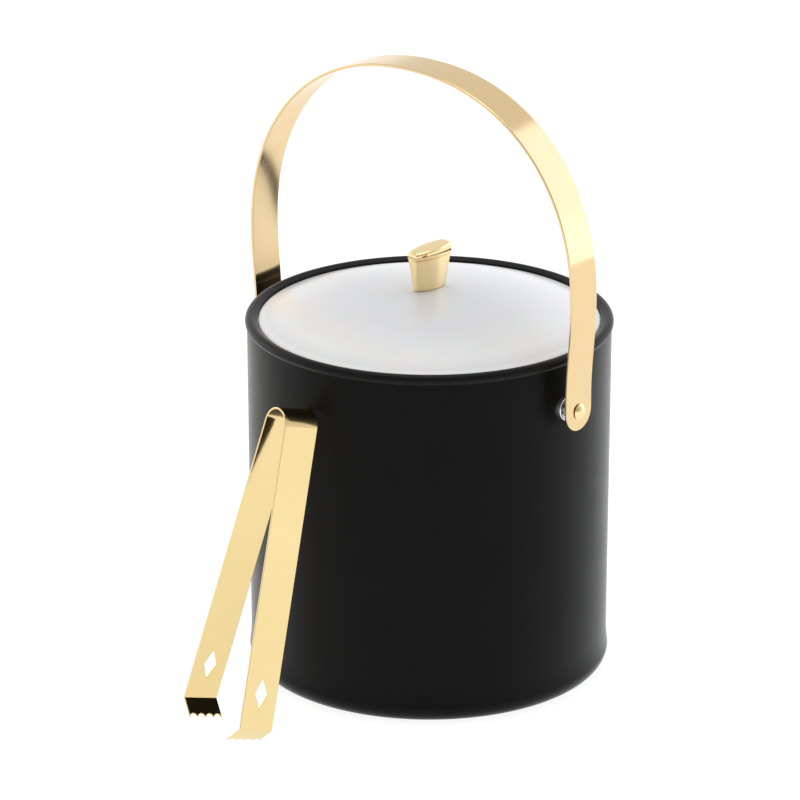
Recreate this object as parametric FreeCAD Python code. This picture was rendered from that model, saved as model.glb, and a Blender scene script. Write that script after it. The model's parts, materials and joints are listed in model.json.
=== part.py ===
import FreeCAD, Part
import math
import os

from FreeCAD import Placement, Rotation, Vector

# Insulated ice bucket with a lift-off lid, a swinging bail handle and leaning tongs.
# Millimetres. Origin: centre of the base on the table. +Z up, +X parallel to the handle's pivot axis,
# -Y towards the side where the tongs lean.

# ---- driving dimensions -------------------------------------------------------------------
BODY_R = 95.0            # outside of the vinyl sleeve just under the rim
BODY_LOW_R = 93.9        # the same wall carried down to the table: the body tapers slightly
BODY_H = 192.0           # table to the top of the rim
RIM_R = 96.0             # the rim stands 1 mm proud of the sleeve
SLEEVE_T = 1.2
SHELL_T = 1.1
RIM_H = 5.0
RIM_IN_R = 89.9          # mouth of the rim round the lid
FOOT_FLARE = 0.9         # the sleeve's hem swells outwards by this much
FLARE_H = 12.0
FOOT_ROUND = 9.0         # radius of the rounded foot, and its height
FOOT_IN_R = 83.2
FOOT_FLOOR = 4.0         # thickness of the foot under the base plate

LINER_T = 1.8
LINER_TOP_R = 85.6       # inner radius at the mouth
LINER_FLOOR_R = 81.5     # inner radius at the floor
LINER_FLOOR_Z = 14.0
BASE_PLATE_R = 91.0
BASE_PLATE_T = 2.0

LID_R = 89.3
LID_GAP = 0.3            # lid over the liner's flange
LID_EDGE_TOP_Z = 190.4
LID_TOP_Z = 206.4
LID_T = 2.6
LOCATING_R = 84.6
LOCATING_T = 1.6
LOCATING_FOOT_Z = 181.0

# The knob's sections are ovals cut square at both ends: half length, half width, half width of the ends.
KNOB_TURN = 79.0         # long axis of the knob from +X, degrees
KNOB_FOOT = (9.75, 4.3, 1.3)
KNOB_NECK = (11.6, 5.5, 3.2)
KNOB_CAP = (12.0, 5.8, 3.4)
KNOB_STEM_H = 17.5
KNOB_NECK_H = 0.6        # shadow gap under the cap
KNOB_CAP_LOW = 4.2
KNOB_CAP_HIGH = 6.8
KNOB_CAP_ROUND = 1.1
SCREW_R = 2.0
SCREW_L = 12.5
SCREW_HEAD_R = 3.8
SCREW_HEAD_H = 2.4
KNOB_WASHER_R = 6.0
KNOB_WASHER_T = 1.0

STRIP_W = 20.6           # handle strip
STRIP_T = 1.5
HANDLE_HALF_SPAN = 105.9     # widest half-width of the strip's centreline
HANDLE_SHOULDER_Z = 221.5    # height of that widest point
HANDLE_RISE = 107.0          # from there to the top of the arch
HANDLE_POWER = 2.173         # superellipse power of the arch
PIVOT_Y = -7.5               # pivots sit a little in front of the body's middle
PIVOT_Z = 164.2
PIVOT_HALF_SPAN = 103.2
LEG_FLAT = 8.0               # the leg is straight from its end to this far above the pivot

RIVET_R = 2.5
RIVET_HEAD_R = 4.3
RIVET_HEAD_H = 2.2
RUNNING = 0.05               # radial running clearance
SPACER_R = 6.5
SPACER_LIP_H = 2.2
WASHER_R = 8.0
WASHER_T = 1.5

TONGS_W = 20.4
TONGS_T = 1.0
TONGS_ARM = 156.5            # bend to the fold of the claw
TONGS_BEND_R = 8.6           # middle of the strip round the bend
TONGS_OPEN = 6.3             # each arm from the middle plane, degrees
CLAW_L = 11.6
CLAW_FOLD = 52.6             # inward fold of the claw, degrees
CLAW_TEETH = 5
TOOTH_H = 2.0
DIAMOND_L = 16.0
DIAMOND_W = 8.0
DIAMOND_UP = 18.6            # diamond's centre above the fold
TONGS_AT = Vector(-3.3, -108.4, 160.4)    # centre of the bend
TONGS_YAW = 74.2
TONGS_PITCH = 15.2

# ---- derived dimensions -------------------------------------------------------------------
WALL_TOP_Z = BODY_H - RIM_H
TAPER = (BODY_R - BODY_LOW_R) / WALL_TOP_Z
SHELL_IN_R = BODY_R - SLEEVE_T - SHELL_T     # at the top of the wall
FLANGE_Z = WALL_TOP_Z - LINER_T
FLANGE_R = SHELL_IN_R - 0.1
FOAM_Z = FOOT_FLOOR + BASE_PLATE_T
LINER_UNDER_Z = LINER_FLOOR_Z - LINER_T
SPACER_END_X = PIVOT_HALF_SPAN - STRIP_T / 2 - 0.4
RIVET_HEAD_X = PIVOT_HALF_SPAN + STRIP_T / 2 + 0.3
WASHER_X = SHELL_IN_R - 1.7
WALL_X = BODY_R - 1.6        # the wall round a pivot lies beyond this
TAIL_H = 2.0

ORIGIN = Vector(0, 0, 0)
AXIS_X = Vector(1, 0, 0)
AXIS_Z = Vector(0, 0, 1)


# ---- helpers ------------------------------------------------------------------------------
def save(shape, node):
    shape.exportStep("parts/" + node + ".step")


def tube(r_out, r_in, z0, z1):
    outer = Part.makeCylinder(r_out, z1 - z0, Vector(0, 0, z0))
    return outer.cut(Part.makeCylinder(r_in, z1 - z0 + 2, Vector(0, 0, z0 - 1)))


def disc(r, z0, z1):
    return Part.makeCylinder(r, z1 - z0, Vector(0, 0, z0))


def circle_edges(shape, radius, z):
    """The full-circle edges of one radius at one height."""
    found = []
    for edge in shape.Edges:
        curve = edge.Curve
        if isinstance(curve, Part.Circle) and abs(curve.Radius - radius) < 0.01:
            if abs(curve.Center.z - z) < 0.01:
                found.append(edge)
    return found


def revolve(edges):
    """A solid of revolution about Z from a closed outline in the XZ plane."""
    return Part.Face(Part.Wire(Part.__sortEdges__(edges))).revolve(ORIGIN, AXIS_Z, 360)


def outline(points):
    """Straight edges through (r, z) points, left open at the end."""
    corners = [Vector(r, 0, z) for r, z in points]
    return [Part.makeLine(a, b) for a, b in zip(corners, corners[1:])]


def dome_radius(rise, half_width):
    return (half_width ** 2 + rise ** 2) / (2 * rise)


def cap_arc(half_width, z_edge, z_top):
    """Arc of a spherical cap in the XZ plane, from the edge to the axis."""
    big = dome_radius(z_top - z_edge, half_width)
    mid_angle = 0.5 * math.asin(half_width / big)
    centre_z = z_top - big
    mid = Vector(big * math.sin(mid_angle), 0, centre_z + big * math.cos(mid_angle))
    return Part.Arc(Vector(half_width, 0, z_edge), mid, Vector(0, 0, z_top)).toShape()


def wall_r(inset, z):
    """Radius of the tapered wall at a height, moved inwards by inset."""
    return BODY_R - inset - TAPER * (WALL_TOP_Z - z)


def wall_cone(inset, z0, z1):
    """Solid cone inside the tapered wall, its side moved inwards by inset."""
    return Part.makeCone(wall_r(inset, z0), wall_r(inset, z1), z1 - z0, Vector(0, 0, z0))


def pin_x(radius, x0, x1):
    """A cylinder on the handle's pivot axis, from x0 to x1."""
    low = min(x0, x1)
    return Part.makeCylinder(radius, abs(x1 - x0), Vector(low, PIVOT_Y, PIVOT_Z), AXIS_X)


def both_pivots(radius, x0, x1):
    return pin_x(radius, x0, x1).fuse(pin_x(radius, -x0, -x1))


# ---- body ---------------------------------------------------------------------------------
def make_sleeve():
    """Vinyl wall, thicker at its hem where it swells out to meet the foot."""
    flare_z = FOOT_ROUND + FLARE_H
    hem_z = FOOT_ROUND + FLARE_H / 2
    edges = outline([
        (wall_r(0, FOOT_ROUND) + FOOT_FLARE, FOOT_ROUND),
        (wall_r(0, hem_z) + FOOT_FLARE / 4, hem_z),
        (wall_r(0, flare_z), flare_z),
        (BODY_R, WALL_TOP_Z),
        (wall_r(SLEEVE_T, WALL_TOP_Z), WALL_TOP_Z),
        (wall_r(SLEEVE_T, FOOT_ROUND), FOOT_ROUND),
        (wall_r(0, FOOT_ROUND) + FOOT_FLARE, FOOT_ROUND),
    ])
    return revolve(edges).cut(both_pivots(RIVET_R + RUNNING, 80, 110))


def make_shell():
    shell = wall_cone(SLEEVE_T, FOOT_ROUND, WALL_TOP_Z)
    shell = shell.cut(wall_cone(SLEEVE_T + SHELL_T, FOOT_ROUND, WALL_TOP_Z))
    return shell.cut(both_pivots(RIVET_R + RUNNING, 80, 110))


def make_top_rim():
    rim = tube(RIM_R, RIM_IN_R, WALL_TOP_Z, BODY_H)
    rim = rim.makeFillet(2.8, circle_edges(rim, RIM_R, BODY_H))
    rim = rim.makeFillet(2.2, circle_edges(rim, RIM_IN_R, BODY_H))
    return rim.makeFillet(0.9, circle_edges(rim, RIM_R, WALL_TOP_Z))


def make_foot():
    """Rounded foot under the wall, with a floor that the base plate lies on."""
    foot_r = wall_r(0, FOOT_ROUND) + FOOT_FLARE
    centre_r = foot_r - FOOT_ROUND
    knee = FOOT_ROUND * math.sqrt(0.5)
    rounding = Part.Arc(
        Vector(centre_r, 0, 0),
        Vector(centre_r + knee, 0, FOOT_ROUND - knee),
        Vector(foot_r, 0, FOOT_ROUND),
    ).toShape()
    step_r = BASE_PLATE_R + 0.2
    edges = outline([
        (foot_r, FOOT_ROUND),
        (step_r, FOOT_ROUND),
        (step_r, FOOT_FLOOR),
        (FOOT_IN_R, FOOT_FLOOR),
        (FOOT_IN_R, 0),
        (centre_r, 0),
    ])
    return revolve(edges + [rounding])


def make_liner():
    inside = [
        (0, LINER_FLOOR_Z),
        (LINER_FLOOR_R, LINER_FLOOR_Z),
        (LINER_TOP_R, WALL_TOP_Z),
        (FLANGE_R, WALL_TOP_Z),
        (FLANGE_R, FLANGE_Z),
        (LINER_TOP_R + LINER_T, FLANGE_Z),
        (LINER_FLOOR_R + LINER_T, LINER_UNDER_Z),
        (0, LINER_UNDER_Z),
        (0, LINER_FLOOR_Z),
    ]
    liner = revolve(outline(inside))
    liner = liner.makeFillet(6.0, circle_edges(liner, LINER_FLOOR_R, LINER_FLOOR_Z))
    return liner.makeFillet(5.0, circle_edges(liner, LINER_FLOOR_R + LINER_T, LINER_UNDER_Z))


def make_wall_insulation(liner):
    foam = wall_cone(SLEEVE_T + SHELL_T, LINER_UNDER_Z, FLANGE_Z)
    hollow = [
        (0, LINER_UNDER_Z),
        (LINER_FLOOR_R + LINER_T, LINER_UNDER_Z),
        (LINER_TOP_R + LINER_T, FLANGE_Z),
        (0, FLANGE_Z),
        (0, LINER_UNDER_Z),
    ]
    foam = foam.cut(revolve(outline(hollow)))
    pocket = both_pivots(WASHER_R + 1, WASHER_X - WASHER_T - TAIL_H - 1, BODY_R)
    return foam.cut(pocket).cut(liner)


def make_rivet(side):
    """Solid rivet: domed head outside the strip, tail bucked over the washer inside the wall."""
    shank = pin_x(RIVET_R, side * (WASHER_X - WASHER_T), side * RIVET_HEAD_X)
    tail_end = WASHER_X - WASHER_T - TAIL_H
    tail = pin_x(RIVET_R + 1.6, side * tail_end, side * (WASHER_X - WASHER_T))
    head = revolve([
        Part.makeLine(ORIGIN, Vector(RIVET_HEAD_R, 0, 0)),
        cap_arc(RIVET_HEAD_R, 0, RIVET_HEAD_H),
        Part.makeLine(Vector(0, 0, RIVET_HEAD_H), ORIGIN),
    ])
    head.rotate(ORIGIN, Vector(0, 1, 0), side * 90)
    head.translate(Vector(side * RIVET_HEAD_X, PIVOT_Y, PIVOT_Z))
    return shank.fuse([tail, head]).removeSplitter()


def make_spacer(side):
    """Turned spacer that holds the strip off the wall: a flange with a raised lip round a slim hub."""
    hub = pin_x(RIVET_R + 1.3, side * WALL_X, side * SPACER_END_X)
    flange = pin_x(SPACER_R, side * WALL_X, side * (BODY_R + 0.9))
    lip = pin_x(SPACER_R, side * WALL_X, side * (BODY_R + SPACER_LIP_H))
    lip = lip.cut(pin_x(SPACER_R - 1.5, side * (WALL_X - 1), side * (BODY_R + SPACER_LIP_H + 1)))
    ring = hub.fuse([flange, lip]).removeSplitter()
    ring = ring.cut(wall_cone(0, 0, BODY_H))
    return ring.cut(pin_x(RIVET_R, side * 80, side * 110))


def make_backing_washer(side):
    washer = pin_x(WASHER_R, side * (WASHER_X - WASHER_T), side * WASHER_X)
    return washer.cut(pin_x(RIVET_R + RUNNING, side * 80, side * 110))


# ---- lid ----------------------------------------------------------------------------------
def make_lid_dome():
    seat_z = WALL_TOP_Z + LID_GAP
    edge_round = 1.6
    top_r = LID_R - edge_round
    under_r = LID_R - LID_T
    under_edge_z = LID_EDGE_TOP_Z - LID_T
    straight_top_z = LID_EDGE_TOP_Z - edge_round
    knee = edge_round * math.sqrt(0.5)
    rounding = Part.Arc(
        Vector(LID_R, 0, straight_top_z),
        Vector(top_r + knee, 0, straight_top_z + knee),
        Vector(top_r, 0, LID_EDGE_TOP_Z),
    ).toShape()
    edges = outline([(under_r, under_edge_z), (under_r, seat_z), (LID_R, seat_z), (LID_R, straight_top_z)])
    edges += [
        rounding,
        cap_arc(top_r, LID_EDGE_TOP_Z, LID_TOP_Z),
        Part.makeLine(Vector(0, 0, LID_TOP_Z), Vector(0, 0, LID_TOP_Z - LID_T)),
        cap_arc(under_r, under_edge_z, LID_TOP_Z - LID_T),
    ]
    return revolve(edges).cut(Part.makeCylinder(SCREW_R + 0.3, BODY_H, Vector(0, 0, BODY_H / 2)))


def make_locating_ring():
    """Ring under the lid that drops inside the liner's mouth, its top shaped to the dome's underside."""
    ring = tube(LOCATING_R, LOCATING_R - LOCATING_T, LOCATING_FOOT_Z, LID_TOP_Z)
    under_r = LID_R - LID_T
    under_edge_z = LID_EDGE_TOP_Z - LID_T
    below = outline([
        (0, LID_TOP_Z - LID_T),
        (0, LOCATING_FOOT_Z),
        (under_r, LOCATING_FOOT_Z),
        (under_r, under_edge_z),
    ])
    below.append(cap_arc(under_r, under_edge_z, LID_TOP_Z - LID_T))
    return ring.common(revolve(below))


def knob_section(z, size):
    """Oval section of the knob, cut square at both ends, turned to the knob's long axis."""
    along, across, end = size
    edges = []
    for side in (1, -1):
        start = Vector(side * along, -side * end, 0)
        corner = Vector(side * along, side * end, 0)
        edges.append(Part.makeLine(start, corner))
        bulge = Vector(0, side * across, 0)
        edges.append(Part.Arc(corner, bulge, Vector(-side * along, side * end, 0)).toShape())
    section = Part.Wire(edges)
    section.Placement = Placement(Vector(0, 0, z), Rotation(AXIS_Z, KNOB_TURN))
    return section


def make_knob():
    """Tapered stem and a cap whose top slopes along the long axis."""
    foot_z = LID_TOP_Z
    neck_z = foot_z + KNOB_STEM_H
    waist_z = neck_z - KNOB_NECK_H
    stem = Part.makeLoft([knob_section(foot_z, KNOB_FOOT), knob_section(waist_z, KNOB_NECK)], True)
    inner = [size - 0.6 for size in KNOB_NECK]
    neck = Part.makeLoft([knob_section(waist_z, inner), knob_section(neck_z, inner)], True)
    stem = stem.fuse(neck).removeSplitter()
    stem = stem.cut(Part.makeCylinder(SCREW_R, 14, Vector(0, 0, foot_z - 1)))
    cap = Part.makeLoft([knob_section(neck_z, KNOB_CAP), knob_section(neck_z + KNOB_CAP_HIGH, KNOB_CAP)], True)
    slope = math.degrees(math.atan2(KNOB_CAP_HIGH - KNOB_CAP_LOW, 2 * KNOB_CAP[0]))
    middle_z = neck_z + (KNOB_CAP_HIGH + KNOB_CAP_LOW) / 2
    block = Part.makeBox(60, 60, 30, Vector(-30, -30, 0))
    tilt = Rotation(AXIS_Z, KNOB_TURN).multiply(Rotation(Vector(0, 1, 0), -slope))
    block.Placement = Placement(Vector(0, 0, middle_z), tilt)
    cap = cap.cut(block)
    top = max(cap.Faces, key=lambda face: face.CenterOfMass.z)
    return stem, cap.makeFillet(KNOB_CAP_ROUND, top.Edges)


def make_knob_screw():
    """Screw up into the knob through the lid, with a washer shaped to the dome's underside."""
    under_z = LID_TOP_Z - LID_T
    head_top = under_z - KNOB_WASHER_T
    big = dome_radius(LID_TOP_Z - LID_EDGE_TOP_Z, LID_R - LID_T)
    dome = Part.makeSphere(big, Vector(0, 0, under_z - big))
    washer = tube(KNOB_WASHER_R, SCREW_R + 0.2, head_top, under_z + 1).common(dome)
    screw = Part.makeCylinder(SCREW_R - RUNNING, SCREW_L, Vector(0, 0, head_top))
    head = Part.makeCylinder(SCREW_HEAD_R, SCREW_HEAD_H, Vector(0, 0, head_top - SCREW_HEAD_H))
    head = head.makeFillet(1.0, circle_edges(head, SCREW_HEAD_R, head_top - SCREW_HEAD_H))
    return washer, screw.fuse(head).removeSplitter()


# ---- handle -------------------------------------------------------------------------------
def handle_centreline(t):
    """Point (x, z) of the right half: t = -1 at the leg's end, 0 at the shoulder, 1 at the apex."""
    if t < 0:
        z = HANDLE_SHOULDER_Z + t * (HANDLE_SHOULDER_Z - PIVOT_Z + STRIP_W / 2)
        s = min(1, (HANDLE_SHOULDER_Z - z) / (HANDLE_SHOULDER_Z - PIVOT_Z - LEG_FLAT))
        return HANDLE_HALF_SPAN - (HANDLE_HALF_SPAN - PIVOT_HALF_SPAN) * s * s * (3 - 2 * s), z
    angle = t * math.pi / 2
    x = HANDLE_HALF_SPAN * math.cos(angle) ** (2 / HANDLE_POWER)
    return x, HANDLE_SHOULDER_Z + HANDLE_RISE * math.sin(angle) ** (2 / HANDLE_POWER)


def handle_half_points(offset):
    """Points (x, z) of half the arch, from the leg's end up, moved out by offset."""
    points = []
    nudge = 0.004
    for t in [-i / 12 for i in range(12, 0, -1)] + [i / 14 for i in range(1, 14)]:
        x, z = handle_centreline(t)
        x0, z0 = handle_centreline(max(t - nudge, -1))
        x1, z1 = handle_centreline(t + nudge)
        length = math.hypot(x1 - x0, z1 - z0)
        points.append((x + offset * (z1 - z0) / length, z - offset * (x1 - x0) / length))
    return points


def handle_curve(offset):
    half = handle_half_points(offset)
    apex = Vector(0, 0, HANDLE_SHOULDER_Z + HANDLE_RISE + offset)
    right = [Vector(x, 0, z) for x, z in half]
    left = [Vector(-x, 0, z) for x, z in reversed(half)]
    curve = Part.BSplineCurve()
    curve.interpolate(right + [apex] + left)
    return curve.toShape()


def make_handle():
    outer = handle_curve(STRIP_T / 2)
    inner = handle_curve(-STRIP_T / 2)
    ends = []
    for outer_end, inner_end in zip(outer.Vertexes, inner.Vertexes):
        ends.append(Part.makeLine(outer_end.Point, inner_end.Point))
    profile = Part.Face(Part.Wire(Part.__sortEdges__([outer, inner] + ends)))
    strip = profile.extrude(Vector(0, STRIP_W, 0))
    strip.translate(Vector(0, PIVOT_Y - STRIP_W / 2, 0))
    reach = HANDLE_HALF_SPAN + 10
    rounded = pin_x(STRIP_W / 2, -reach, reach)
    above = Part.makeBox(2 * reach, STRIP_W, 300, Vector(-reach, PIVOT_Y - STRIP_W / 2, PIVOT_Z))
    strip = strip.common(rounded.fuse(above).removeSplitter())
    return strip.cut(both_pivots(RIVET_R + RUNNING, 90, 110))


# ---- tongs --------------------------------------------------------------------------------
def place_tongs(shape):
    turn = Rotation(AXIS_Z, TONGS_YAW).multiply(Rotation(Vector(0, 1, 0), TONGS_PITCH))
    shape.Placement = Placement(TONGS_AT, turn).multiply(shape.Placement)
    return shape


def make_tongs_bend():
    """Half ring over the bend's axis, from arm to arm, with a hair's gap at each end."""
    ring = Part.makeCylinder(TONGS_BEND_R + TONGS_T / 2, TONGS_W, Vector(-TONGS_W / 2, 0, 0), AXIS_X)
    ring = ring.cut(Part.makeCylinder(TONGS_BEND_R - TONGS_T / 2, TONGS_W + 2,
                                      Vector(-TONGS_W / 2 - 1, 0, 0), AXIS_X))
    for side in (-1, 1):
        under = Part.makeBox(TONGS_W + 4, 40, 20, Vector(-TONGS_W / 2 - 2, -20 + side * 12, -20 + 0.1))
        under.rotate(ORIGIN, AXIS_X, side * TONGS_OPEN)
        ring = ring.cut(under)
    return place_tongs(ring)


def claw_face():
    """Flat claw hanging from the fold: round notches leave pointed teeth along its lower edge."""
    half = TONGS_W / 2
    y = -TONGS_T / 2
    pitch = TONGS_W / (CLAW_TEETH - 1)
    edges = [Part.makeLine(Vector(half, y, -CLAW_L), Vector(half, y, 0))]
    edges.append(Part.makeLine(Vector(half, y, 0), Vector(-half, y, 0)))
    edges.append(Part.makeLine(Vector(-half, y, 0), Vector(-half, y, -CLAW_L)))
    for i in range(CLAW_TEETH - 1):
        left = -half + i * pitch
        top = Vector(left + pitch / 2, y, -CLAW_L + TOOTH_H)
        notch = Part.Arc(Vector(left, y, -CLAW_L), top, Vector(left + pitch, y, -CLAW_L))
        edges.append(notch.toShape())
    return Part.Face(Part.Wire(Part.__sortEdges__(edges)))


def make_tongs_arm(side):
    """One arm hanging down from the bend: flat strip with a diamond hole and a folded claw."""
    arm = Part.makeBox(TONGS_W, TONGS_T, TONGS_ARM, Vector(-TONGS_W / 2, -TONGS_T / 2, -TONGS_ARM))
    centre_z = -TONGS_ARM + DIAMOND_UP
    corners = [
        Vector(0, -5, centre_z + DIAMOND_L / 2),
        Vector(DIAMOND_W / 2, -5, centre_z),
        Vector(0, -5, centre_z - DIAMOND_L / 2),
        Vector(-DIAMOND_W / 2, -5, centre_z),
    ]
    arm = arm.cut(Part.Face(Part.makePolygon(corners + corners[:1])).extrude(Vector(0, 10, 0)))
    claw = claw_face().extrude(Vector(0, TONGS_T, 0))
    claw.rotate(ORIGIN, AXIS_X, -CLAW_FOLD)
    claw.translate(Vector(0, 0, -TONGS_ARM))
    knuckle = Part.makeCylinder(TONGS_T / 2, TONGS_W, Vector(-TONGS_W / 2, 0, -TONGS_ARM), AXIS_X)
    arm = arm.fuse([claw, knuckle]).removeSplitter()
    arm.translate(Vector(0, TONGS_BEND_R, 0))
    arm.rotate(ORIGIN, AXIS_X, TONGS_OPEN)
    if side < 0:
        arm = arm.mirror(ORIGIN, Vector(0, 1, 0))
    return place_tongs(arm)


# ---- build --------------------------------------------------------------------------------
os.makedirs("parts", exist_ok=True)

liner = make_liner()
save(make_sleeve(), "vinyl_sleeve")
save(make_shell(), "outer_shell")
save(make_top_rim(), "top_rim")
save(make_foot(), "bottom_rim")
save(liner, "liner")
save(make_wall_insulation(liner), "wall_insulation")
save(disc(BASE_PLATE_R, FOAM_Z, LINER_UNDER_Z), "base_insulation")
save(disc(BASE_PLATE_R, FOOT_FLOOR, FOAM_Z), "base_plate")
save(disc(FOOT_IN_R - 0.2, 0, FOOT_FLOOR), "base_pad")
for name, side in (("left", -1), ("right", 1)):
    save(make_rivet(side), "rivet_" + name)
    save(make_spacer(side), "spacer_" + name)
    save(make_backing_washer(side), "backing_washer_" + name)

save(make_lid_dome(), "lid_dome")
save(make_locating_ring(), "lid_locating_ring")
knob_stem, knob_cap = make_knob()
save(knob_stem, "knob_stem")
save(knob_cap, "knob_cap")
knob_washer, knob_screw = make_knob_screw()
save(knob_washer, "knob_washer")
save(knob_screw, "knob_screw")

save(make_handle(), "handle_strip")

save(make_tongs_bend(), "tongs_bend")
save(make_tongs_arm(1), "tongs_arm_left")
save(make_tongs_arm(-1), "tongs_arm_right")
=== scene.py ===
import json
import math

import bmesh
import bpy
from mathutils import Matrix, Vector


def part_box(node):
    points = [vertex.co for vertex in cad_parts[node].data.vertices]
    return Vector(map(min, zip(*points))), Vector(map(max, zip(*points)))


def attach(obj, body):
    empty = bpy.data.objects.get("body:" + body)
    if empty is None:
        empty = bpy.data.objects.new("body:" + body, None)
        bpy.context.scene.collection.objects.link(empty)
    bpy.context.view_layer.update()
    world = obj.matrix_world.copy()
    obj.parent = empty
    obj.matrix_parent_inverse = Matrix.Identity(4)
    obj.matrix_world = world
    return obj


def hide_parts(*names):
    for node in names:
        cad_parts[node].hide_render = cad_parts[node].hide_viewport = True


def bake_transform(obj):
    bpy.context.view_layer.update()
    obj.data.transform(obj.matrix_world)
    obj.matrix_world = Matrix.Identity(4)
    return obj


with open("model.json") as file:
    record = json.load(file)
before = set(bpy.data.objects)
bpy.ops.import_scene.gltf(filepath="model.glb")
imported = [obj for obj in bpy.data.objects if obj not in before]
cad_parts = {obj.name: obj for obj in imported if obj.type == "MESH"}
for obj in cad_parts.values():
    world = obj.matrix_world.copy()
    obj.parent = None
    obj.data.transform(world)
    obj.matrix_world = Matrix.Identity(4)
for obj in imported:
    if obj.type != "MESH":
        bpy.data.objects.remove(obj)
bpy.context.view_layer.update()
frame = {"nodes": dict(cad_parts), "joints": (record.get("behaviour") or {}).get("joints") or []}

# An ice bucket: leatherette body, frosted domed lid, gold strip handle and leaning gold tongs.
# Every size is in metres; many are worked out from the CAD frame's boxes and joints, the others are given
# as numbers.

JOINTS = {joint["name"]: joint for joint in frame["joints"]}
MM = 0.001


# ---- sizes read from the frame ------------------------------------------------------------
def low(node):
    return Vector(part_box(node)[0])


def high(node):
    return Vector(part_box(node)[1])


BODY_R = min(high("vinyl_sleeve").x, high("vinyl_sleeve").y)
BODY_LOW_R = 93.9 * MM                 # the same wall carried down to the table
FOOT_TOP = high("bottom_rim").z
SLEEVE_TOP = high("vinyl_sleeve").z
SLEEVE_T = 1.2 * MM
FLARE_H = 12.0 * MM
FLARE = 0.9 * MM
RIM_R = min(high("top_rim").x, high("top_rim").y)
RIM_TOP = high("top_rim").z
FOOT_IN_R = high("base_pad").x + 0.2 * MM
FOOT_STEP_R = high("base_plate").x + 0.2 * MM
FOOT_FLOOR = high("base_pad").z

LINER_FOOT = low("liner").z
LINER_TOP = high("liner").z
LINER_WALL = 1.8 * MM
LINER_FLANGE_R = high("liner").x
MOUTH_R = high("lid_locating_ring").x + 1.0 * MM
FLOOR_R = MOUTH_R - 4.1 * MM

LID_R = high("lid_dome").x
LID_SEAT = low("lid_dome").z
LID_TOP = high("lid_dome").z
LID_EDGE = LID_SEAT + 3.1 * MM
LID_THICK = 2.6 * MM

KNOB_TURN = math.radians(79.0)
KNOB_FOOT_OVAL = (9.75, 4.3, 1.3)      # half length, half width, half width of the ends, mm
KNOB_NECK_OVAL = (11.6, 5.5, 3.2)
KNOB_CAP_OVAL = (12.0, 5.8, 3.4)
KNOB_FOOT = low("knob_stem").z
KNOB_NECK = low("knob_cap").z
KNOB_TOP = high("knob_cap").z
CAP_LOW = 4.2 * MM

PIVOT = Vector(JOINTS["handle_swing"]["pos_m"])
STRIP_W = high("handle_strip").y - low("handle_strip").y
STRIP_T = 1.5 * MM
HALF_SPAN = high("handle_strip").x - STRIP_T / 2
SHOULDER = 221.5 * MM
ARCH_RISE = high("handle_strip").z - STRIP_T / 2 - SHOULDER
ARCH_POWER = 2.173
PIVOT_SPAN = 103.2 * MM
LEG_FLAT = 8.0 * MM
RIVET_R = 2.5 * MM
RIVET_END = high("rivet_right").x
RIVET_TAIL = low("rivet_right").x
SPACER_R = (high("spacer_right").z - low("spacer_right").z) / 2
SPACER_END = high("spacer_right").x

WIDTH_AXIS = Vector(JOINTS["tongs_squeeze_right"]["axis"]).normalized()
SPREAD_AXIS = Vector((0, 0, 1)).cross(WIDTH_AXIS).normalized()
RISE_AXIS = WIDTH_AXIS.cross(SPREAD_AXIS)
BEND_CENTRE = Vector(JOINTS["tongs_squeeze_right"]["pos_m"])
TONGS_W = 20.4 * MM
TONGS_T = 1.0 * MM
BEND_R = 8.6 * MM
ARM_OPEN = math.radians(6.3)
ARM_L = 156.5 * MM
CLAW_L = 11.6 * MM
CLAW_FOLD = math.radians(52.6)
FOLD_R = 1.1 * MM
NOTCHES = 4
TOOTH_H = 2.0 * MM
DIAMOND_L = 16.0 * MM
DIAMOND_W = 8.0 * MM
DIAMOND_UP = 18.6 * MM


# ---- mesh helpers -------------------------------------------------------------------------
def add_object(name, bm, sharp_degrees=38):
    """Links a bmesh as an object, smooth but for edges that turn more than sharp_degrees."""
    bmesh.ops.recalc_face_normals(bm, faces=bm.faces)
    limit = math.radians(sharp_degrees)
    for face in bm.faces:
        face.smooth = True
    for edge in bm.edges:
        edge.smooth = not (edge.is_manifold and edge.calc_face_angle() > limit)
    mesh = bpy.data.meshes.new(name)
    bm.to_mesh(mesh)
    bm.free()
    obj = bpy.data.objects.new(name, mesh)
    bpy.context.scene.collection.objects.link(obj)
    return obj


def round_edges(obj, width, segments=3, degrees=35):
    """Real rounded edges, applied to the mesh."""
    bevel = obj.modifiers.new("edges", "BEVEL")
    bevel.width = width
    bevel.segments = segments
    bevel.limit_method = "ANGLE"
    bevel.angle_limit = math.radians(degrees)
    depsgraph = bpy.context.evaluated_depsgraph_get()
    shaped = bpy.data.meshes.new_from_object(obj.evaluated_get(depsgraph))
    obj.modifiers.clear()
    obj.data = shaped
    return obj


def arc(centre_r, centre_z, radius, start, end, steps=6):
    """Points (r, z) along a circle arc, angles in degrees from +r towards +z."""
    points = []
    for i in range(steps + 1):
        angle = math.radians(start + (end - start) * i / steps)
        points.append((centre_r + radius * math.cos(angle), centre_z + radius * math.sin(angle)))
    return points


def cap(radius, edge_z, top_z, steps=24):
    """Points (r, z) of a spherical cap from its edge up to the axis."""
    rise = top_z - edge_z
    big = (radius ** 2 + rise ** 2) / (2 * rise)
    points = []
    for i in range(steps + 1):
        r = radius * (1 - i / steps)
        points.append((r, top_z - big + math.sqrt(big ** 2 - r ** 2)))
    return points


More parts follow.
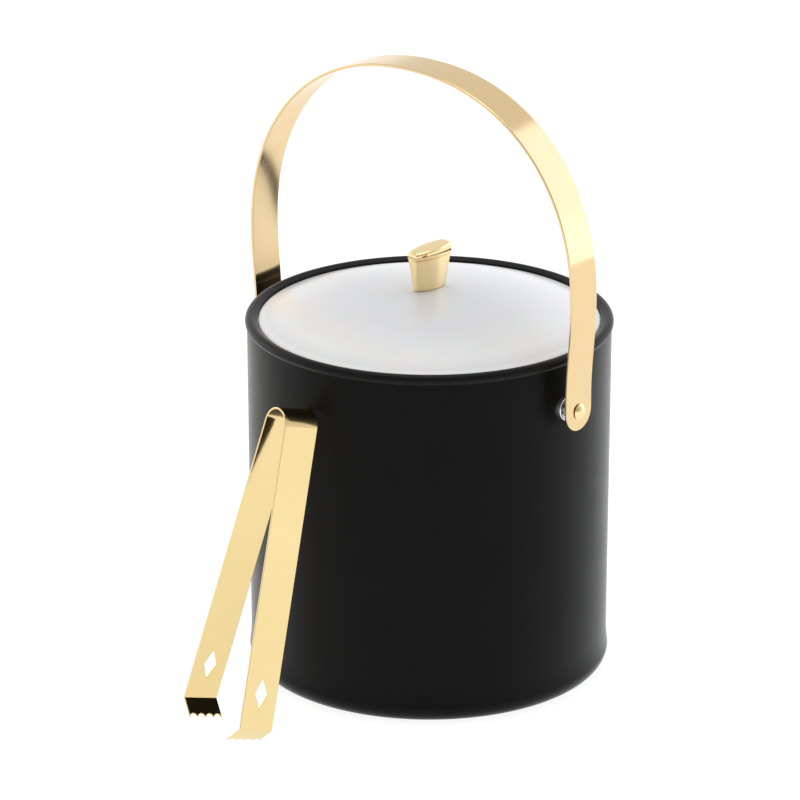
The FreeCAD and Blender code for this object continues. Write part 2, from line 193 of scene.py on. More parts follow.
def lathe(name, profile, segments=192, axis=None):
    """Turns a closed (r, z) profile about Z, or about another axis through a matrix."""
    bm = bmesh.new()
    rings = []
    for i in range(segments):
        angle = 2 * math.pi * i / segments
        rings.append([bm.verts.new((r * math.cos(angle), r * math.sin(angle), z)) for r, z in profile])
    for i, ring in enumerate(rings):
        after = rings[(i + 1) % segments]
        for j, (r, z) in enumerate(profile):
            k = (j + 1) % len(profile)
            if max(r, profile[k][0]) > 1e-7:
                bm.faces.new((ring[j], after[j], after[k], ring[k]))
    bmesh.ops.remove_doubles(bm, verts=bm.verts, dist=1e-7)
    bmesh.ops.dissolve_degenerate(bm, edges=bm.edges, dist=1e-8)
    if axis:
        bm.transform(axis)
    return add_object(name, bm)


def loft(name, rings):
    """Closed skin through rings of points, the first and last ring filled."""
    bm = bmesh.new()
    loops = [[bm.verts.new(point) for point in ring] for ring in rings]
    for loop, after in zip(loops, loops[1:]):
        for j in range(len(loop)):
            k = (j + 1) % len(loop)
            bm.faces.new((loop[j], loop[k], after[k], after[j]))
    bm.faces.new(loops[0])
    bm.faces.new(loops[-1])
    return add_object(name, bm)


def sheet_strip(name, cells, place, thickness, edge):
    """Metal strip from flat cells of (across, along) corners; place(across, along, out) shapes it."""
    bm = bmesh.new()
    skins = []
    for out in (thickness / 2, -thickness / 2):
        known = {}
        for cell in cells:
            for across, along in cell:
                key = (round(across, 7), round(along, 7))
                if key not in known:
                    known[key] = bm.verts.new(place(across, along, out))
        skins.append(known)
    uses = {}
    uv = bm.loops.layers.uv.new("UVMap")
    for cell in cells:
        keys = []
        for across, along in cell:
            key = (round(across, 7), round(along, 7))
            if key not in keys:
                keys.append(key)
        if len(keys) < 3:
            continue
        for skin in skins:
            face = bm.faces.new([skin[key] for key in keys])
            for corner, key in zip(face.loops, keys):
                corner[uv].uv = key
        for a, b in zip(keys, keys[1:] + keys[:1]):
            uses[frozenset((a, b))] = uses.get(frozenset((a, b)), 0) + 1
    for pair, count in uses.items():
        if count == 1:
            a, b = sorted(pair)
            face = bm.faces.new((skins[0][a], skins[0][b], skins[1][b], skins[1][a]))
            for corner, key in zip(face.loops, (a, b, b, a)):
                corner[uv].uv = key
    return round_edges(add_object(name, bm), edge)


def dress(obj, body, slot, material, *nodes):
    """Finish, body and the CAD nodes that a piece stands for."""
    obj.data.materials.clear()
    obj.data.materials.append(material)
    if body:
        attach(obj, body)
    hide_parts(*nodes)
    return obj


# ---- materials ----------------------------------------------------------------------------
class Finish:
    """A principled material with a few short ways to add procedural detail."""

    def __init__(self, name, coordinates="Object", **sockets):
        self.material = bpy.data.materials.new(name)
        self.material.use_nodes = True
        self.tree = self.material.node_tree
        self.shader = self.tree.nodes["Principled BSDF"]
        for socket, value in sockets.items():
            self.shader.inputs[socket.replace("_", " ")].default_value = value
        self.place = self.node("ShaderNodeTexCoord").outputs[coordinates]
        self.bumps = None

    def node(self, kind, **inputs):
        node = self.tree.nodes.new(kind)
        for name, value in inputs.items():
            node.inputs[name.replace("_", " ")].default_value = value
        return node

    def link(self, source, target):
        self.tree.links.new(source, target)

    def stretched(self, scale):
        mapping = self.node("ShaderNodeMapping", Scale=scale)
        self.link(self.place, mapping.inputs["Vector"])
        return mapping.outputs["Vector"]

    def noise(self, scale, detail=3.0, rough=0.55, stretch=None):
        node = self.node("ShaderNodeTexNoise", Scale=scale, Detail=detail, Roughness=rough)
        self.link(self.stretched(stretch) if stretch else self.place, node.inputs["Vector"])
        return node.outputs["Fac"]

    def cells(self, scale, smooth=0.35):
        node = self.node("ShaderNodeTexVoronoi", Scale=scale)
        node.feature = "SMOOTH_F1"
        node.inputs["Smoothness"].default_value = smooth
        self.link(self.place, node.inputs["Vector"])
        return node.outputs["Distance"]

    def distance_from_axis(self):
        node = self.node("ShaderNodeVectorMath")
        node.operation = "LENGTH"
        self.link(self.stretched((1, 1, 0)), node.inputs[0])
        return node.outputs["Value"]

    def ramp(self, factor, *stops):
        node = self.node("ShaderNodeValToRGB")
        band = node.color_ramp
        while len(band.elements) < len(stops):
            band.elements.new(0.5)
        for element, (at, colour) in zip(band.elements, stops):
            element.position = at
            element.color = (*colour, 1)
        self.link(factor, node.inputs["Fac"])
        return node.outputs["Color"]

    def multiply(self, one, other):
        node = self.node("ShaderNodeMix")
        node.data_type = "RGBA"
        node.blend_type = "MULTIPLY"
        node.inputs[0].default_value = 1
        self.link(one, node.inputs[6])
        self.link(other, node.inputs[7])
        return node.outputs[2]

    def spread(self, factor, lowest, highest, start=0.3, end=0.7):
        node = self.node("ShaderNodeMapRange")
        node.inputs["From Min"].default_value = start
        node.inputs["From Max"].default_value = end
        node.inputs["To Min"].default_value = lowest
        node.inputs["To Max"].default_value = highest
        self.link(factor, node.inputs["Value"])
        return node.outputs["Result"]

    def colour(self, source):
        self.link(source, self.shader.inputs["Base Color"])

    def roughness(self, source):
        self.link(source, self.shader.inputs["Roughness"])

    def bump(self, source, distance, strength=1.0):
        node = self.node("ShaderNodeBump", Strength=strength, Distance=distance)
        self.link(source, node.inputs["Height"])
        if self.bumps:
            self.link(self.bumps, node.inputs["Normal"])
        self.bumps = node.outputs["Normal"]
        self.link(self.bumps, self.shader.inputs["Normal"])


def leatherette(name, base, lift, gloss, **sockets):
    """Black vinyl cloth: pebbled grain, a faint mottling and satin gloss."""
    finish = Finish(name, **sockets)
    finish.colour(finish.ramp(finish.noise(26, 5), (0.35, base), (0.72, lift)))
    finish.roughness(finish.spread(finish.noise(60, 4), gloss - 0.02, gloss + 0.04))
    finish.bump(finish.cells(820), 0.00004, 0.4)
    finish.bump(finish.noise(2600, 2), 0.000012, 0.4)
    return finish.material


def gold(name, pale, deep, gloss, coordinates="Object", streaks=None):
    """Gold plate with slight tone changes and, where asked, fine brushed streaks along the strip."""
    finish = Finish(name, coordinates, Metallic=1.0)
    finish.colour(finish.ramp(finish.noise(14, 3), (0.3, deep), (0.7, pale)))
    if streaks:
        lines = finish.noise(1.0, 4, 0.6, (2600, 18, 1))
        finish.roughness(finish.spread(lines, gloss - 0.03, gloss + 0.05))
        finish.bump(lines, streaks, 0.6)
    else:
        finish.roughness(finish.spread(finish.noise(70, 4), gloss - 0.01, gloss + 0.02))
        finish.bump(finish.noise(16, 2), 0.00002, 0.12)
    return finish.material


def moulded_plastic(name, base, shade, gloss, **sockets):
    """Moulded plastic: slight tone drift and a faint flow ripple."""
    finish = Finish(name, **sockets)
    finish.colour(finish.ramp(finish.noise(18, 3), (0.3, base), (0.75, shade)))
    finish.roughness(finish.spread(finish.noise(90, 3), gloss - 0.02, gloss + 0.04))
    finish.bump(finish.noise(22, 2), 0.00005, 0.1)
    return finish.material


def frosted_lid_with_painted_shade(name, base, shade, gloss, **sockets):
    """Frosted lid plastic with painted shade: darker and cooler towards the middle, lighter towards the
    edge, and a faint grey ring of painted shade where the locating ring sits under the lid.
    """
    finish = Finish(name, **sockets)
    tone = finish.ramp(finish.noise(12, 3), (0.3, base), (0.75, shade))
    # Painted shade: the radial ramp darkens and cools the middle and lightens the edge, and its thin grey
    # band paints the shade of the locating ring below.
    radius = finish.spread(finish.distance_from_axis(), 0, 1, 0, LID_R)
    ring = finish.ramp(
        radius,
        (0.0, (0.85, 0.87, 0.90)), (0.55, (0.88, 0.89, 0.91)), (0.86, (1, 1, 1)),
        (0.945, (0.93, 0.93, 0.94)), (0.965, (1, 1, 1)), (1.0, (0.96, 0.96, 0.96)),
    )
    finish.colour(finish.multiply(tone, ring))
    finish.roughness(finish.spread(finish.noise(90, 3), gloss - 0.02, gloss + 0.04))
    finish.bump(finish.noise(22, 2), 0.00005, 0.1)
    return finish.material


def fibrous(name, base, shade, scale, depth):
    """Felt, foam or board: a matte, broken-up surface."""
    finish = Finish(name, Specular_IOR_Level=0.2)
    finish.colour(finish.ramp(finish.noise(scale, 6, 0.7), (0.3, base), (0.75, shade)))
    finish.roughness(finish.spread(finish.noise(scale * 2, 3), 0.8, 0.95))
    finish.bump(finish.noise(scale * 3, 5, 0.7), depth, 0.8)
    return finish.material


def plated_steel(name, base, shade, gloss):
    finish = Finish(name, Metallic=1.0)
    finish.colour(finish.ramp(finish.noise(40, 3), (0.3, base), (0.7, shade)))
    finish.roughness(finish.spread(finish.noise(120, 4), gloss - 0.02, gloss + 0.04))
    finish.bump(finish.noise(400, 3), 0.000003, 0.3)
    return finish.material


VINYL = leatherette(
    "vinyl", (0.001, 0.001, 0.0011), (0.0024, 0.0024, 0.0026), 0.40,
    Specular_IOR_Level=0.10, Sheen_Weight=0.55, Sheen_Roughness=0.31,
)
RIM_VINYL = leatherette(
    "rim_vinyl", (0.002, 0.002, 0.0021), (0.004, 0.004, 0.0042), 0.44,
    Specular_IOR_Level=0.16, Sheen_Weight=0.42, Sheen_Roughness=0.30,
)
SATIN_GOLD = gold("satin_gold", (0.85, 0.65, 0.365), (0.81, 0.60, 0.32), 0.11, "UV", 0.000001)
POLISHED_GOLD = gold("polished_gold", (0.99, 0.80, 0.46), (0.96, 0.74, 0.38), 0.06)
TONGS_GOLD = gold("tongs_gold", (0.88, 0.70, 0.36), (0.85, 0.66, 0.32), 0.09)
LID_PLASTIC = frosted_lid_with_painted_shade(
    "lid_plastic", (0.83, 0.83, 0.835), (0.87, 0.87, 0.875), 0.34,
    Subsurface_Weight=0.2, Subsurface_Scale=0.004, Coat_Weight=0.8, Coat_Roughness=0.28,
)
WHITE_PLASTIC = moulded_plastic("white_plastic", (0.74, 0.74, 0.73), (0.79, 0.79, 0.78), 0.22)
CHROME = plated_steel("chrome", (0.86, 0.86, 0.87), (0.92, 0.92, 0.93), 0.06)
ZINC = plated_steel("zinc", (0.52, 0.53, 0.55), (0.62, 0.63, 0.65), 0.32)
FELT = fibrous("felt", (0.012, 0.012, 0.013), (0.03, 0.03, 0.031), 700, 0.0003)
FOAM = fibrous("foam", (0.78, 0.74, 0.60), (0.86, 0.83, 0.72), 350, 0.0004)
BOARD = fibrous("board", (0.035, 0.034, 0.033), (0.06, 0.058, 0.055), 220, 0.0001)


# ---- body ---------------------------------------------------------------------------------
def wall_r(z):
    """Outside radius of the sleeve at a height: a slight taper, and a swell towards the hem."""
    taper = (BODY_R - BODY_LOW_R) * (SLEEVE_TOP - z) / SLEEVE_TOP
    swell = max(0, 1 - (z - FOOT_TOP) / FLARE_H)
    return BODY_R - taper + FLARE * swell ** 2


def make_sleeve():
    """Vinyl wrap: a slightly tapered wall whose hem swells to meet the foot."""
    profile = []
    rows = 72
    for i in range(rows + 1):
        z = FOOT_TOP + (SLEEVE_TOP - FOOT_TOP) * (i / rows) ** 1.5
        profile.append((wall_r(z), z))
    profile.append((BODY_R - SLEEVE_T, SLEEVE_TOP))
    profile.append((wall_r(FOOT_TOP) - FLARE - SLEEVE_T, FOOT_TOP))
    obj = lathe("sleeve_wrap", profile, 256)
    return dress(obj, "bucket", "black_vinyl", VINYL, "vinyl_sleeve")


def make_top_rim():
    """Soft rolled rim: it swells out from the wall, rolls over and ends in a small lip by the lid."""
    inner = LID_R + 0.6 * MM
    foot = low("top_rim").z
    roll = 2.8 * MM
    swell = RIM_R - BODY_R
    lip = 0.7 * MM
    profile = [(inner, foot)]
    rows = 6
    for i in range(rows):
        up = i / rows
        profile.append((BODY_R + swell * math.sin(up * math.pi / 2), foot + (RIM_TOP - roll - foot) * up))
    profile += arc(RIM_R - roll, RIM_TOP - roll, roll, 0, 115, 16)
    profile += arc(inner + lip, RIM_TOP - 1.75 * MM, lip, 115, 180, 5)
    obj = lathe("rolled_rim", profile, 256)
    return dress(obj, "bucket", "black_rim", RIM_VINYL, "top_rim")


def make_foot():
    """Rounded foot under the sleeve, flush with its hem."""
    foot_r = wall_r(FOOT_TOP)
    profile = [(FOOT_IN_R, 0)]
    profile += arc(foot_r - FOOT_TOP, FOOT_TOP, FOOT_TOP, -90, 0, 16)
    profile += [(FOOT_STEP_R, FOOT_TOP), (FOOT_STEP_R, FOOT_FLOOR), (FOOT_IN_R, FOOT_FLOOR)]
    obj = lathe("rounded_foot", profile, 256)
    return dress(obj, "bucket", "black_rim", VINYL, "bottom_rim")


def make_liner():
    """Moulded liner: rolled floor corner, drafted wall and a flange that the lid rests on."""
    fillet = 6 * MM
    floor = LINER_FOOT + LINER_WALL
    profile = [(0, floor), (FLOOR_R * 0.5, floor)]
    profile += arc(FLOOR_R - fillet, floor + fillet, fillet, -90, -1, 10)
    rows = 24
    wall_foot = floor + fillet
    for i in range(1, rows):
        up = i / rows
        profile.append((FLOOR_R + (MOUTH_R - FLOOR_R) * up, wall_foot + (LINER_TOP - wall_foot) * up))
    lip = 0.7 * MM
    profile += arc(MOUTH_R + lip, LINER_TOP - lip, lip, 180, 90, 5)
    profile += [(LINER_FLANGE_R, LINER_TOP), (LINER_FLANGE_R, LINER_TOP - LINER_WALL)]
    profile += [(MOUTH_R + LINER_WALL, LINER_TOP - LINER_WALL), (FLOOR_R + LINER_WALL, LINER_FOOT + fillet)]
    profile += arc(FLOOR_R + LINER_WALL - fillet, LINER_FOOT + fillet, fillet, 0, -90, 8)[1:]
    profile.append((0, LINER_FOOT))
    obj = lathe("moulded_liner", profile, 256)
    return dress(obj, "bucket", "white_plastic", WHITE_PLASTIC, "liner")


def turn_to_pivot(side):
    """From a lathe about Z to the pivot's axis, with +Z of the lathe pointing outwards."""
    outwards = Matrix.Rotation(side * math.pi / 2, 4, "Y")
    return Matrix.Translation(Vector((0, PIVOT.y, PIVOT.z))) @ outwards


def make_rivet(name, side):
    """Rivet with a low domed head, shank and bucked tail."""
    head_r = 4.3 * MM
    head_h = 2.2 * MM
    seat = RIVET_END - head_h
    tail_r = RIVET_R + 1.6 * MM
    tail_top = RIVET_TAIL + 2.0 * MM
    profile = [(0, RIVET_TAIL)]
    profile += arc(tail_r - 0.6 * MM, RIVET_TAIL + 0.6 * MM, 0.6 * MM, -90, 0, 4)
    profile += [(tail_r, tail_top), (RIVET_R, tail_top), (RIVET_R, seat), (head_r - 0.3 * MM, seat)]
    profile += arc(head_r - 0.3 * MM, seat + 0.3 * MM, 0.3 * MM, -90, 20, 4)[1:]
    profile += cap(head_r - 0.15 * MM, seat + 0.45 * MM, RIVET_END, 14)[1:]
    obj = lathe(name + "_dome", profile, 64, turn_to_pivot(side))
    return dress(obj, "bucket", "gold_polished", POLISHED_GOLD, name)


def make_spacer(name, side):
    """Chrome spacer: dished flange with a rolled lip on the wall, and a hub out to the strip."""
    hub = RIVET_R + 1.3 * MM
    wall = BODY_R - 1.4 * MM
    lip = 0.75 * MM
    lip_top = BODY_R + 2.2 * MM
    profile = [(RIVET_R, wall), (SPACER_R, wall)]
    profile += arc(SPACER_R - lip, lip_top - lip, lip, 0, 180, 10)
    profile += [(SPACER_R - 2 * lip - 0.1 * MM, BODY_R + 1.3 * MM), (hub + 0.7 * MM, BODY_R + 0.9 * MM)]
    profile += [(hub + 0.15 * MM, BODY_R + 1.2 * MM), (hub, BODY_R + 1.7 * MM)]
    profile += arc(hub - 0.4 * MM, SPACER_END - 0.4 * MM, 0.4 * MM, 0, 90, 4)
    profile.append((RIVET_R, SPACER_END))
    obj = lathe(name + "_turned", profile, 96, turn_to_pivot(side))
    return dress(obj, "bucket", "chrome", CHROME, name)


# ---- lid ----------------------------------------------------------------------------------
def make_lid():
    """Low dome with a rolled edge, a short skirt and an even underside."""
    roll = 1.8 * MM
    inside = LID_R - LID_THICK
    profile = [(inside, LID_SEAT + 0.3 * MM), (inside + 0.3 * MM, LID_SEAT), (LID_R - 0.5 * MM, LID_SEAT)]
    profile += arc(LID_R - 0.5 * MM, LID_SEAT + 0.5 * MM, 0.5 * MM, -90, 0, 4)[1:]
    profile += arc(LID_R - roll, LID_EDGE - roll, roll, 0, 78, 10)
    profile += cap(LID_R - roll - 0.3 * MM, LID_EDGE, LID_TOP, 40)[1:]
    profile += list(reversed(cap(inside, LID_EDGE - LID_THICK, LID_TOP - LID_THICK, 30)))
    obj = lathe("frosted_dome", profile, 256)
    return dress(obj, "lid", "lid_plastic", LID_PLASTIC, "lid_dome")


def knob_ring(size, inset, height, steps=18):
    """Oval ring of points cut square at both ends; size is in mm, height(x) gives z along the knob."""
    along, across, end = (half * MM - inset for half in size)
    bulge = across - end
    big = (along ** 2 + bulge ** 2) / (2 * bulge)
    turn = Matrix.Rotation(KNOB_TURN, 3, "Z")
    ring = []
    for side in (1, -1):
        for i in range(steps + 1):
            x = side * along * (1 - 2 * i / steps)
            y = side * (across - big + math.sqrt(big ** 2 - x ** 2))
            ring.append(turn @ Vector((x, y, height(x))))
    return ring


def make_knob_stem():
    """Stem that tapers to its foot, with a thin neck under the cap."""
    waist = KNOB_NECK - 0.4 * MM
    foot = KNOB_FOOT + 0.2 * MM
    rings = [knob_ring(KNOB_FOOT_OVAL, 0.25 * MM, lambda x: KNOB_FOOT)]
    rows = 10
    for i in range(rows + 1):
        up = i / rows
        size = [a + (b - a) * up for a, b in zip(KNOB_FOOT_OVAL, KNOB_NECK_OVAL)]
        z = foot + (waist - foot) * up
        rings.append(knob_ring(size, 0, lambda x, z=z: z))
    rings.append(knob_ring(KNOB_NECK_OVAL, 0.15 * MM, lambda x: waist + 0.12 * MM))
    rings.append(knob_ring(KNOB_NECK_OVAL, 0.55 * MM, lambda x: waist + 0.16 * MM))
    rings.append(knob_ring(KNOB_NECK_OVAL, 0.6 * MM, lambda x: KNOB_NECK))
    obj = round_edges(loft("knob_taper", rings), 0.06 * MM, 2)
    return dress(obj, "lid", "gold_polished", POLISHED_GOLD, "knob_stem")


def make_knob_cap():
    """Cushion-topped cap, thin at the front and thick at the back."""
    long_half = KNOB_CAP_OVAL[0] * MM
    cap_high = KNOB_TOP - KNOB_NECK + 0.1 * MM
    roll = 1.5 * MM
    pillow = 0.45 * MM

    def top(x):
        share = (x + long_half) / (2 * long_half)
        return KNOB_NECK + CAP_LOW - pillow + (cap_high - CAP_LOW) * share

    rings = [
        knob_ring(KNOB_CAP_OVAL, 0.3 * MM, lambda x: KNOB_NECK),
        knob_ring(KNOB_CAP_OVAL, 0.08 * MM, lambda x: KNOB_NECK + 0.1 * MM),
        knob_ring(KNOB_CAP_OVAL, 0, lambda x: KNOB_NECK + 0.35 * MM),
    ]
    steps = 10
    for i in range(steps + 1):
        angle = math.pi / 2 * i / steps
        drop = roll * (1 - math.sin(angle))
        rings.append(knob_ring(KNOB_CAP_OVAL, roll * (1 - math.cos(angle)), lambda x, d=drop: top(x) - d))
    flat = [half - roll / MM for half in KNOB_CAP_OVAL]
    for share in (0.8, 0.6, 0.4, 0.2):
        lift = pillow * (1 - share ** 2)
        smaller = [half * share for half in flat]
        rings.append(knob_ring(smaller, 0, lambda x, d=lift: top(x) + d))
    obj = round_edges(loft("knob_cushion", rings), 0.12 * MM, 2)
    return dress(obj, "lid", "gold_polished", POLISHED_GOLD, "knob_cap")


# ---- handle -------------------------------------------------------------------------------
def handle_point(t):
    """Centreline (x, z) of the right half: t = -1 at the leg's end, 0 at the shoulder, 1 at the top."""
    if t < 0:
        z = SHOULDER + t * (SHOULDER - PIVOT.z + STRIP_W / 2)
        s = min(1, (SHOULDER - z) / (SHOULDER - PIVOT.z - LEG_FLAT))
        return HALF_SPAN - (HALF_SPAN - PIVOT_SPAN) * s * s * (3 - 2 * s), z
    angle = min(t, 1) * math.pi / 2
    x = HALF_SPAN * max(math.cos(angle), 0) ** (2 / ARCH_POWER)
    return x, SHOULDER + ARCH_RISE * math.sin(angle) ** (2 / ARCH_POWER)


class HandlePath:
    """Arch centreline by distance from the top: positive to the right, negative to the left."""

    def __init__(self):
        self.points = [handle_point(1 - 2 * i / 1200) for i in range(1201)]
        self.lengths = [0]
        for a, b in zip(self.points, self.points[1:]):
            self.lengths.append(self.lengths[-1] + math.dist(a, b))
        self.total = self.lengths[-1]

    def at(self, s):
        side = 1 if s >= 0 else -1
        s = min(abs(s), self.total)
        lower, upper = 0, len(self.lengths) - 1
        while upper - lower > 1:
            mid = (lower + upper) // 2
            if self.lengths[mid] <= s:
                lower = mid
            else:
                upper = mid
        (x0, z0), (x1, z1) = self.points[lower], self.points[upper]
        step = self.lengths[upper] - self.lengths[lower]
        f = (s - self.lengths[lower]) / step
        dx, dz = (x1 - x0) / step, (z1 - z0) / step
        if lower == 0:
            dx, dz = 1, 0
        return side * (x0 + (x1 - x0) * f), z0 + (z1 - z0) * f, side * -dz, dx

    def place(self, across, along, out):
        x, z, nx, nz = self.at(along)
        return Vector((x + out * nx, PIVOT.y + across, z + out * nz))


def make_handle():
    """Strip with rounded edges, half-round leg ends and a hole for each rivet."""
    path = HandlePath()
    half = STRIP_W / 2
    columns = 10
    plate_top = path.total - half - 6 * MM
    across = [-half + 2 * half * i / columns for i in range(columns + 1)]
    rows = 220
    cells = []
    for i in range(rows):
        s0 = -plate_top + 2 * plate_top * i / rows
        s1 = -plate_top + 2 * plate_top * (i + 1) / rows
        for a, b in zip(across, across[1:]):
            cells.append([(a, s0), (b, s0), (b, s1), (a, s1)])
    pivot_s = path.total - half
    plate_l = pivot_s - plate_top
    hole = RIVET_R + 0.1 * MM
    end_steps = 28
    outline = [(a, plate_top) for a in across]
    outline += [(half, plate_top + plate_l * i / 4) for i in range(1, 4)]
    for i in range(end_steps + 1):
        angle = math.pi * i / end_steps
        outline.append((half * math.cos(angle), pivot_s + half * math.sin(angle)))
    outline += [(-half, pivot_s - plate_l * i / 4) for i in range(1, 4)]
    for side in (1, -1):
        for p, q in zip(outline, outline[1:] + outline[:1]):
            corners = [p, q]
            for x, s in (q, p):
                reach = math.hypot(x, s - pivot_s)
                corners.append((x * hole / reach, pivot_s + (s - pivot_s) * hole / reach))
            cells.append([(x, side * s) for x, s in corners])
    obj = sheet_strip("bail_strip", cells, path.place, STRIP_T, 0.4 * MM)
    return dress(obj, "handle", "gold_satin", SATIN_GOLD, "handle_strip")


# ---- tongs --------------------------------------------------------------------------------
ARC_L = BEND_R * (math.pi / 2 - ARM_OPEN)
FOLD_TRIM = FOLD_R * math.tan(CLAW_FOLD / 2)
FOLD_L = FOLD_R * CLAW_FOLD
FOLD_AT = ARC_L + ARM_L - FOLD_TRIM
TONGS_END = FOLD_AT + FOLD_L + CLAW_L - FOLD_TRIM


def tongs_centreline(s):
    """(outwards, up, heading) at a distance from the top of the bend; heading is from down, outwards."""
    if s < ARC_L:
        turn = s / BEND_R
        return BEND_R * math.sin(turn), BEND_R * math.cos(turn), math.pi / 2 - turn
    y = BEND_R * math.cos(ARM_OPEN)
    z = BEND_R * math.sin(ARM_OPEN)
    straight = min(s, FOLD_AT) - ARC_L
    y += straight * math.sin(ARM_OPEN)
    z -= straight * math.cos(ARM_OPEN)
    if s <= FOLD_AT:
        return y, z, ARM_OPEN
    turn = min((s - FOLD_AT) / FOLD_R, CLAW_FOLD)
    heading = ARM_OPEN - turn
    y += FOLD_R * (math.cos(heading) - math.cos(ARM_OPEN))
    z += FOLD_R * (math.sin(heading) - math.sin(ARM_OPEN))
    rest = max(0, s - FOLD_AT - FOLD_L)
    return y + rest * math.sin(heading), z - rest * math.cos(heading), heading


def notch_depth(across):
    """How far a round notch cuts into the claw's end at a distance across the strip."""
    pitch = TONGS_W / NOTCHES
    off = ((across + TONGS_W / 2) % pitch) - pitch / 2
    radius = (TOOTH_H ** 2 + (pitch / 2) ** 2) / (2 * TOOTH_H)
    return max(0, math.sqrt(radius ** 2 - off ** 2) - (radius - TOOTH_H))


def make_tongs_half(name, node, side):
    """Half of the bent strip: from the top of the bend down one arm to its toothed claw."""
    diamond_s = FOLD_AT - DIAMOND_UP

    def opening(s):
        return max(0, 1 - abs(s - diamond_s) / (DIAMOND_L / 2)) * DIAMOND_W / 2

    stops = [ARC_L * i / 22 for i in range(22)]
    upper = diamond_s - DIAMOND_L / 2
    stops += [ARC_L + (upper - ARC_L) * i / 40 for i in range(40)]
    stops += [upper + DIAMOND_L * i / 16 for i in range(16)]
    lower = diamond_s + DIAMOND_L / 2
    stops += [lower + (FOLD_AT - lower) * i / 4 for i in range(4)]
    stops += [FOLD_AT + FOLD_L * i / 8 for i in range(8)]
    claw = FOLD_AT + FOLD_L
    stops += [claw + (TONGS_END - claw) * i / 8 for i in range(9)]

    def grid(share, s, band):
        across = band * (opening(s) + (TONGS_W / 2 - opening(s)) * share)
        if s > claw:
            s = claw + (s - claw) * (1 - notch_depth(across) / (TONGS_END - claw))
        return across, s

    def place(across, along, out):
        y, z, heading = tongs_centreline(along)
        y += out * math.cos(heading)
        z += out * math.sin(heading)
        return BEND_CENTRE + WIDTH_AXIS * across + SPREAD_AXIS * (side * y) + RISE_AXIS * z

    columns = 20
    cells = []
    for band in (-1, 1):
        for s0, s1 in zip(stops, stops[1:]):
            for i in range(columns):
                a, b = i / columns, (i + 1) / columns
                cells.append([grid(a, s0, band), grid(b, s0, band), grid(b, s1, band), grid(a, s1, band)])
    obj = sheet_strip(name, cells, place, TONGS_T, 0.22 * MM)
    dress(obj, None, "gold_tongs", TONGS_GOLD, node, "tongs_bend")
    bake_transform(obj)
    return obj


# ---- parts that keep their CAD mesh ---------------------------------------------------------
def dress_cad_parts():
    for node, material in (
        ("outer_shell", BOARD),
        ("wall_insulation", FOAM),
        ("base_insulation", FOAM),
        ("base_plate", BOARD),
        ("base_pad", FELT),
        ("backing_washer_left", ZINC),
        ("backing_washer_right", ZINC),
        ("knob_washer", ZINC),
        ("knob_screw", ZINC),
        ("lid_locating_ring", LID_PLASTIC),
    ):
        mesh = frame["nodes"][node].data
        mesh.materials.clear()
        mesh.materials.append(material)


make_sleeve()
make_top_rim()
make_foot()
make_liner()
for name, side in (("left", -1), ("right", 1)):
    make_rivet("rivet_" + name, side)
    make_spacer("spacer_" + name, side)
make_lid()
make_knob_stem()
make_knob_cap()
make_handle()
make_tongs_half("tongs_strip_left", "tongs_arm_left", 1)
make_tongs_half("tongs_strip_right", "tongs_arm_right", -1)
dress_cad_parts()


# ---- floor, light and camera --------------------------------------------------------------
VIEW_AZIMUTH = math.radians(39.0)      # the camera stands this far round from -Y towards +X
VIEW_PITCH = math.radians(20.36)
VIEW_DISTANCE = 28.435 * BODY_R        # level distance from the bucket's axis
VIEW_HEIGHT = 12.068 * BODY_R
VIEW_SIDE = -0.161 * BODY_R
LENS_MM = 247.7
WORLD_LIGHT = 0.84
HORIZON_GLOW = 1.25                    # the sky near the horizon against the sky above
COOL_TINT = (0.62, 0.72, 1.0)

FORWARD = Vector((-math.sin(VIEW_AZIMUTH), math.cos(VIEW_AZIMUTH), 0))
RIGHT = Vector((math.cos(VIEW_AZIMUTH), math.sin(VIEW_AZIMUTH), 0))


def seen_from_camera(right, back, up):
    """A place given as distances to the right, away from the camera and up, from the base's centre."""
    return RIGHT * right + FORWARD * back + Vector((0, 0, up))


def make_floor():
    bm = bmesh.new()
    bmesh.ops.create_grid(bm, x_segments=2, y_segments=2, size=6)
    floor = add_object("floor", bm)
    finish = Finish("floor_white", Specular_IOR_Level=0.1, Emission_Strength=0.90)
    finish.shader.inputs["Emission Color"].default_value = (1, 1, 1, 1)
    finish.colour(finish.ramp(finish.noise(3, 2), (0.2, (0.19, 0.19, 0.19)), (0.8, (0.21, 0.21, 0.21))))
    finish.roughness(finish.spread(finish.noise(30, 3), 0.7, 0.8))
    floor.data.materials.append(finish.material)


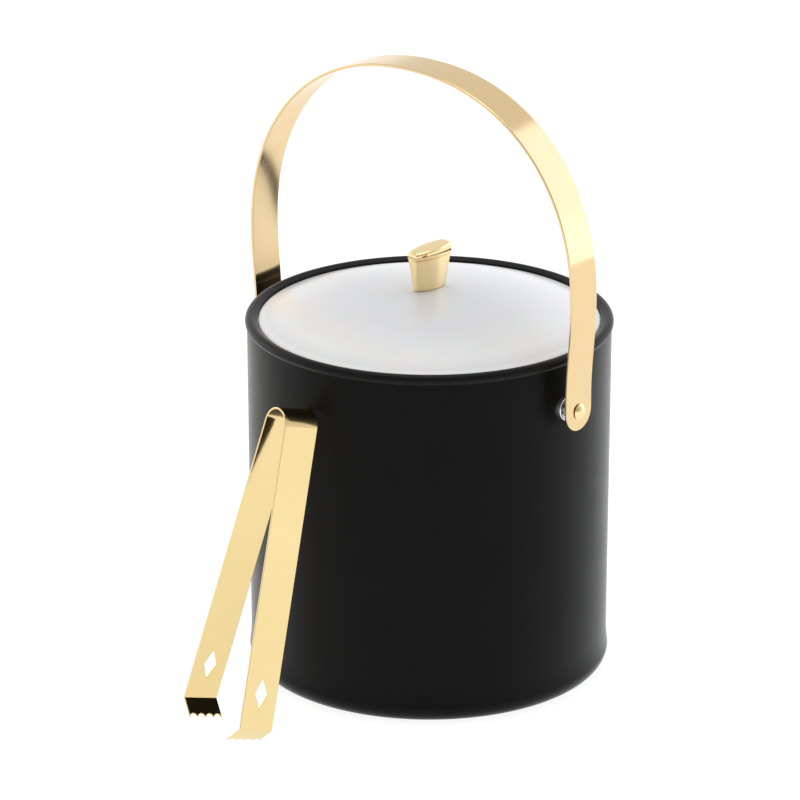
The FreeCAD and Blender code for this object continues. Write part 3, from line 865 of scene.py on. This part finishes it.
def make_world():
    world = bpy.data.worlds.new("studio")
    bpy.context.scene.world = world
    world.use_nodes = True
    tree = world.node_tree
    sky = tree.nodes["Background"]
    direction = tree.nodes.new("ShaderNodeTexCoord").outputs["Generated"]
    height = tree.nodes.new("ShaderNodeSeparateXYZ")
    tree.links.new(direction, height.inputs["Vector"])
    band = tree.nodes.new("ShaderNodeValToRGB")
    horizon, above = band.color_ramp.elements
    horizon.position = 0.10
    horizon.color = (HORIZON_GLOW, HORIZON_GLOW, HORIZON_GLOW, 1)
    above.position = 0.24
    above.color = (1, 1, 1, 1)
    tree.links.new(height.outputs["Z"], band.inputs["Fac"])
    front = tree.nodes.new("ShaderNodeVectorMath")
    front.operation = "DOT_PRODUCT"
    front.inputs[1].default_value = -FORWARD
    tree.links.new(direction, front.inputs[0])
    shade = tree.nodes.new("ShaderNodeMapRange")
    shade.inputs["From Min"].default_value = -0.1
    shade.inputs["From Max"].default_value = 0.8
    shade.inputs["To Min"].default_value = WORLD_LIGHT
    shade.inputs["To Max"].default_value = WORLD_LIGHT * 0.5
    tree.links.new(front.outputs["Value"], shade.inputs["Value"])
    tree.links.new(band.outputs["Color"], sky.inputs["Color"])
    tree.links.new(shade.outputs["Result"], sky.inputs["Strength"])


def softbox(name, at, aim, width, height, watts, colour=(1, 1, 1)):
    light = bpy.data.lights.new(name, "AREA")
    light.shape = "RECTANGLE"
    light.size = width
    light.size_y = height
    light.energy = watts
    light.color = colour
    obj = bpy.data.objects.new(name, light)
    obj.location = at
    obj.rotation_euler = (Vector(aim) - Vector(at)).to_track_quat("-Z", "Y").to_euler()
    bpy.context.scene.collection.objects.link(obj)


def make_camera():
    camera = bpy.data.cameras.new("camera")
    camera.lens = LENS_MM
    camera.sensor_width = 36
    obj = bpy.data.objects.new("camera", camera)
    obj.location = seen_from_camera(VIEW_SIDE, -VIEW_DISTANCE, VIEW_HEIGHT)
    look = FORWARD * math.cos(VIEW_PITCH) - Vector((0, 0, math.sin(VIEW_PITCH)))
    obj.rotation_euler = look.to_track_quat("-Z", "Y").to_euler()
    bpy.context.scene.collection.objects.link(obj)
    bpy.context.scene.camera = obj


make_floor()
make_world()
softbox("key", seen_from_camera(1.36, 0.5, 0.72), (0, 0, 0.22), 1.1, 1.4, 4.4, COOL_TINT)
softbox("fill", seen_from_camera(-1.5, 0.8, 0.7), (0, 0, 0.15), 0.8, 1.2, 4.5)
softbox("top", seen_from_camera(0, 0.1, 2.2), (0, 0, 0.15), 1.2, 1.2, 10.0)
make_camera()
bpy.context.scene.view_settings.view_transform = "Standard"
